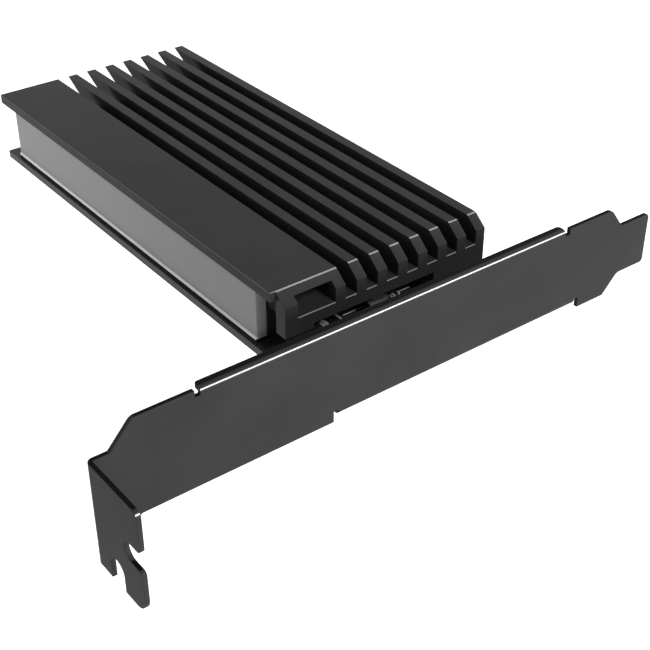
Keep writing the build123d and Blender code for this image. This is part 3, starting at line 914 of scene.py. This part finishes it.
@dataclass
class LightBar(Assembly):
    """The frosted bar, the channel behind it and the lit strip.

    Attributes:
        lens_radius: The radius of a lamp's lit face.
        lens_steps: Points round it.
        track_width: The width of the strip board's copper tracks.
        track_height: How far they stand over it.
        track_inset: How far they stay from its ends.
    """

    lens_radius: float = 1.35
    lens_steps: int = 24
    track_width: float = 0.5
    track_height: float = 0.03
    track_inset: float = 1.0

    def build(self) -> None:
        """Dress the bar, its channel and its lamps, and give the lamps their faces."""
        self.dress("frosted", "light_bar", edges=Edges.MOULDED)
        self.dress("moulded", "light_bar_backing", edges=Edges.MOULDED)
        self.dress("white_mask", "light_strip_board")
        self.dress("polyamide", "strip_lamps", edges=Edges.MOULDED)
        self.make_lenses()
        self.make_tracks()

    def make_lenses(self) -> None:
        """Set a round lit face in each lamp."""
        shaper = Shaper()
        for box in islands("strip_lamps"):
            rings = []
            for share, out in ((1.0, 0.0), (1.0, 0.03), (0.6, 0.05)):
                spots = circle(self.lens_radius * share, 0.0, self.lens_steps, box.middle[1:])
                rings.append([(box.low[0] - out, y, z) for y, z, _ in spots])
            shaper.loft(rings)
        shaper.piece("lamp_lit_faces", self.paints.get("phosphor"), "strip_lamps")

    def make_tracks(self) -> None:
        """Run two bare tracks along the strip board, above and below the lamps."""
        box = node_bounds("light_strip_board")
        lamps = node_bounds("strip_lamps")
        shaper = Shaper()
        face = box.low[0]
        for z in ((box.low[2] + lamps.low[2]) / 2, (box.high[2] + lamps.high[2]) / 2):
            half = min(self.track_width, 0.5 * (lamps.low[2] - box.low[2])) / 2
            shaper.prism(corners((face - self.track_height, face), box.span(1, -self.track_inset)),
                         z - half, z + half)
        shaper.piece("strip_board_tracks", self.paints.get("tin"), "light_strip_board")


@dataclass
class BoardDetail(Assembly):
    """What is printed, plated and soldered on the board.

    Attributes:
        proud: How far print and pads stand over the board.
        line: A printed line's width.
        margin: How far a printed line lies from a part.
        mouth_lines: The bright lines at the bay's mouth: X from and to, and Y.
        mouth_line_width: Their width.
        screw_pad: The radii of the plated ring round a screw hole.
        short_drive_pad: The same round the hole for a shorter drive.
        standoff_pad: The same round the standoff.
        stitch_pitch: Spacing of the small plated holes along the edges.
        corner_end: Where along Y the board's set-back front corner is past.
        via_radius: The radius of a small plated hole's ring.
        via_hole: The radius of the hole in it.
        track_count: Tracks from the socket to the edge contacts.
        track_pitch: Their spacing.
        track_width: Their width.
    """

    proud: float = 0.03
    line: float = 0.15
    margin: float = 0.4
    mouth_lines: tuple[Point, ...] = ((61.5, 67.8, 27.2), (74.4, 77.6, 27.3))
    mouth_line_width: float = 0.28
    screw_pad: Flat = (1.4, 2.75)
    short_drive_pad: Flat = (1.55, 2.6)
    standoff_pad: Flat = (1.6, 2.7)
    stitch_pitch: float = 4.5
    corner_end: float = 33.0
    via_radius: float = 0.32
    via_hole: float = 0.14
    track_count: int = 14
    track_pitch: float = 0.5
    track_width: float = 0.2

    def height(self, side: BoardSide) -> Flat:
        """Give the heights between which something flat lies on one face."""
        box = node_bounds("main_board")
        face = box.high[2] if side is BoardSide.COMPONENT else box.low[2]
        return tuple(sorted((face, face + side.value * self.proud)))

    def build(self) -> None:
        """Dress the board and its parts, and add print, pads, tracks and solder."""
        self.dress("mask", "main_board", edges=Edges.ROUTED)
        self.dress("gold", "edge_contacts_component_side", "edge_contacts_solder_side", "light_header_pins")
        self.dress("moulded", "light_header_base", edges=Edges.MOULDED)
        self.dress("ceramic", "input_capacitors", "decoupling_capacitors", "coupling_capacitors")
        self.dress("film", "chip_resistors")
        self.dress("lamp_epoxy", "status_lamp")
        self.dress("tin", "chip_terminals")
        self.dress("epoxy", "regulator_chip", "light_controller_chip")
        self.dress("ferrite", "power_inductor", edges=Edges.MOULDED)
        self.make_print()
        self.make_pads()
        self.make_solder()
        self.make_tracks()
        self.make_vias()

    def short_drive_places(self) -> list[Flat]:
        """Give the axes of the holes for shorter drives. The standoff's own holds one of 80 mm."""
        x, y, _ = node_bounds("m2_standoff").middle
        return [(x, y + 80.0 - length) for length in (60.0, 42.0, 30.0)]

    def make_print(self) -> None:
        """Print the outlines round the parts and the lines at the bay's mouth."""
        z = self.height(BoardSide.COMPONENT)
        shaper = Shaper()
        for left, right, y in self.mouth_lines:
            shaper.strip([(left, y), (right, y)], self.mouth_line_width, *z)
        for name in ("power_inductor", "regulator_chip", "light_controller_chip", "light_header_base"):
            box = node_bounds(name)
            shaper.frame(box.span(0, self.margin), box.span(1, self.margin), self.line, *z)
        past_caps, beside, thin = 0.75, 0.3, 0.1
        for name in ("input_capacitors", "decoupling_capacitors", "coupling_capacitors"):
            for box in islands(name):
                long_x = box.high[0] - box.low[0] > box.high[1] - box.low[1]
                wide_x = long_x or name == "coupling_capacitors"
                x_margin, y_margin = (past_caps, beside) if wide_x else (beside, past_caps)
                shaper.frame(box.span(0, x_margin), box.span(1, y_margin), thin, *z)
        socket = node_bounds("m2_socket_housing")
        for x in socket.span(0, 0.35):
            shaper.strip([(x, y) for y in socket.span(1)], self.line, *z)
        mark = (3.0, 3.9)
        for spot in self.short_drive_places():
            for turn in range(4):
                way = Vector((math.cos(turn * math.pi / 2), math.sin(turn * math.pi / 2)))
                shaper.strip([tuple(Vector(spot) + way * out) for out in mark], self.line, *z)
        shaper.piece("board_print", self.paints.get("ink"), "main_board")

    def make_pads(self) -> None:
        """Plate the rings round the holes on both faces, and the contacts' and test points' pads."""
        shaper = Shaper()
        for side, nodes in ((BoardSide.COMPONENT, ("bracket_screws",)),
                            (BoardSide.SOLDER, ("bracket_screws", "heatsink_screws"))):
            z = self.height(side)
            for node in nodes:
                for box in islands(node):
                    shaper.ring(box.middle[:2], *self.screw_pad, *z)
            for spot in self.short_drive_places():
                shaper.ring(spot, *self.short_drive_pad, *z)
        z = self.height(BoardSide.SOLDER)
        shaper.ring(node_bounds("m2_standoff").middle[:2], *self.standoff_pad, *z)
        pin_pad, test_pad = 0.85, 0.6
        for box in islands("light_header_pins"):
            shaper.ring(box.middle[:2], 0.0, pin_pad, *z)
        for i in range(6):
            shaper.ring((57.0 + 3.0 * i, 40.0), 0.0, test_pad, *z)
        shaper.piece("board_plated_pads", self.paints.get("tin"), "chip_terminals")

    def make_solder(self) -> None:
        """Run a solder skirt up each end cap from its pad."""
        board_top = node_bounds("main_board").high[2]
        shaper = Shaper()
        for box in islands("chip_terminals"):
            rise = (box.high[2] - box.low[2]) * 0.55
            skirt = ((0.28, 0.0), (0.26, 0.04), (0.14, rise * 0.35), (0.06, rise * 0.7), (0.01, rise))
            shaper.loft([[(x, y, board_top + z) for x, y in corners(box.span(0, out), box.span(1, out))]
                         for out, z in skirt])
        shaper.piece("chip_solder", self.paints.get("tin"), "chip_terminals")

    def make_tracks(self) -> None:
        """Run tracks on the solder side from under the socket to the edge contacts."""
        z = self.height(BoardSide.SOLDER)
        z = (z[0] + self.proud / 2, z[1])
        contacts = sorted(islands("edge_contacts_solder_side"), key=lambda b: b.middle[1])
        tails = node_bounds("m2_socket_contacts")
        bend = 1.5
        start = tails.low[1] - 1.5
        shaper = Shaper()
        for i, contact in enumerate(contacts[-self.track_count:]):
            x = tails.high[0] - self.track_pitch * (self.track_count - 1 - i)
            y = contact.middle[1]
            route = [(x, start), (x, y + bend), (x + bend, y), (contact.low[0], y)]
            shaper.strip(route, self.track_width, *z)
            shaper.ring((x, start), 0.0, self.via_radius, *z, steps=16)
        shaper.piece("board_tracks", self.paints.get("covered_copper"), "main_board")

    def make_vias(self) -> None:
        """Stitch both faces along the board's edges with small plated rings, and black discs in them as
        painted shade for the holes.
        """
        box = node_bounds("main_board")
        tongue = node_bounds("edge_contacts_solder_side").span(1, 1.0)
        left = box.low[0] + 0.4 * self.via_radius + 0.45
        right = node_bounds("heatsink").high[0] + 8.2
        from_end = 2.0
        count = int((box.high[1] - box.low[1] - 2 * from_end) / self.stitch_pitch)
        places = []
        for i in range(count + 1):
            y = box.low[1] + from_end + self.stitch_pitch * i
            places.append((left, y))
            if y > self.corner_end and not tongue[0] < y < tongue[1]:
                places.append((right, y))
        rings, hole_shade_discs = Shaper(), Shaper()
        for side in BoardSide:
            bottom, top = self.height(side)
            sunk = 0.3 * self.proud if side is BoardSide.COMPONENT else 0.0
            for spot in places:
                rings.ring(spot, self.via_hole, self.via_radius, bottom, top, steps=16)
                # Painted shade: a black disc fills each hole.
                hole_shade_discs.ring(spot, 0.0, self.via_hole, bottom, top - sunk, steps=12)
        rings.piece("board_stitch_rings", self.paints.get("covered_copper"), "main_board")
        hole_shade_discs.piece("board_stitch_hole_shade", self.paints.get("film"), "main_board")


# Stage


@dataclass
class Studio:
    """The camera, the lamps, the floor and the white surround.

    Attributes:
        camera_mm: The camera's place.
        right: The picture's right.
        up: The picture's up.
        lens_mm: Focal length on a 36 mm sensor.
        floor_drop_mm: How far the floor lies under the card.
        floor_glow: What the floor adds to the white it shows.
        soft_level: What the surround gives matt surfaces.
    """

    camera_mm: Point = (-60.483, -127.647, 129.6)
    right: Point = (0.795173, -0.606383, -0.000614)
    up: Point = (0.338812, 0.443456, 0.829791)
    lens_mm: float = 71.866
    floor_drop_mm: float = 70.0
    floor_glow: float = 0.74
    soft_level: float = 0.26

    def build(self) -> None:
        """Set the view, the world, the floor, the lamps and the camera."""
        bpy.context.scene.view_settings.view_transform = "Standard"
        self.make_surround()
        self.make_floor()
        self.make_lamps()
        self.make_camera()

    def seen(self, tree: Tree) -> Outlet:
        """Give 1 for rays that show the background, and 0 for those that light the card."""
        path = add_node(tree, "ShaderNodeLightPath").outputs
        first = compute(tree, "MAXIMUM", path["Is Camera Ray"], path["Is Glossy Ray"])
        return compute(tree, "MAXIMUM", first, path["Is Transmission Ray"])

    def make_surround(self) -> None:
        """Surround the card with white that shows fully and lights softly."""
        world = bpy.data.worlds.new("surround")
        bpy.context.scene.world = world
        tree = emptied(world)
        soft, shown = (add_node(tree, "ShaderNodeBackground", {"Color": linear("#ffffff"), "Strength": level})
                       for level in (self.soft_level, 1.0))
        mixed = add_node(tree, "ShaderNodeMixShader",
                         links={0: self.seen(tree), 1: soft.outputs[0], 2: shown.outputs[0]})
        add_node(tree, "ShaderNodeOutputWorld", links={"Surface": mixed.outputs[0]})

    def make_floor(self) -> None:
        """Lay a pale floor under the card that keeps its shadow."""
        low, high = CAD_BOX
        middle = (low + high) / 2
        reach = 3.0
        x, y = ((v - reach, v + reach) for v in middle[:2])
        data = bpy.data.meshes.new("studio_floor")
        height = low.z - self.floor_drop_mm * MM
        data.from_pydata([(*spot, height) for spot in corners(x, y)], [], [(0, 1, 2, 3)])
        floor = add_object("studio_floor", data)
        material = bpy.data.materials.new("white_studio_paper")
        tree = emptied(material)
        paper = add_node(tree, "ShaderNodeBsdfDiffuse", {"Color": linear("#e4e4e4")})
        glow = add_node(tree, "ShaderNodeEmission", {"Color": linear("#ffffff"), "Strength": self.floor_glow})
        lifted = add_node(tree, "ShaderNodeAddShader", links={0: paper.outputs[0], 1: glow.outputs[0]})
        mixed = add_node(tree, "ShaderNodeMixShader",
                         links={0: self.seen(tree), 1: paper.outputs[0], 2: lifted.outputs[0]})
        add_node(tree, "ShaderNodeOutputMaterial", links={"Surface": mixed.outputs[0]})
        data.materials.append(material)
        LOG.info("floor laid")

    def make_lamps(self) -> None:
        """Hang the soft lamps: place from the card's middle and size in metres, and power in watts."""
        middle = (CAD_BOX[0] + CAD_BOX[1]) / 2
        for name, place, size, power in (
                ("left_softbox", (-0.80, 0.05, 0.10), 0.5, 0.9),
                ("right_softbox", (0.85, -0.15, 0.08), 0.5, 3.0),
                ("back_softbox", (-0.35, 0.85, 0.06), 0.5, 2.4),
                ("front_softbox", (0.10, -0.80, 0.14), 0.5, 10.0),
                ("high_front_softbox", (0.05, -0.56, 0.52), 0.14, 3.1)):
            data = bpy.data.lights.new(name, "AREA")
            data.shape = "SQUARE"
            data.size = size
            data.energy = power
            lamp = add_object(name, data)
            lamp.location = middle + Vector(place)
            lamp.rotation_mode = "QUATERNION"
            lamp.rotation_quaternion = (-Vector(place)).to_track_quat("-Z", "Y")
            LOG.info("%s: %.1f W", name, power)

    def make_camera(self) -> None:
        """Place the camera where the photograph was taken from."""
        right = Vector(self.right).normalized()
        up = (Vector(self.up) - right * right.dot(Vector(self.up))).normalized()
        back = right.cross(up)
        data = bpy.data.cameras.new("camera")
        data.sensor_width = 36.0
        data.lens = self.lens_mm
        data.clip_start, data.clip_end = 0.01, 20.0
        camera = add_object("camera", data)
        turn = Matrix((right, up, back)).transposed()
        camera.matrix_world = Matrix.Translation(Vector(self.camera_mm) * MM) @ turn.to_4x4()
        bpy.context.scene.camera = camera
        LOG.info("camera placed")


def main() -> None:
    """Build the card's looks, piece by piece, and the studio round it."""
    logging.basicConfig(level=logging.INFO, format="%(name)s: %(message)s")
    paints = Paints(Finishes())
    for part in (Bracket(paints), HeatSink(paints), LightBar(paints), Socket(paints), Fasteners(paints),
                 BoardDetail(paints)):
        LOG.info("building %s", type(part).__name__)
        part.build()
    Studio().build()


if __name__ == "__main__":
    main()
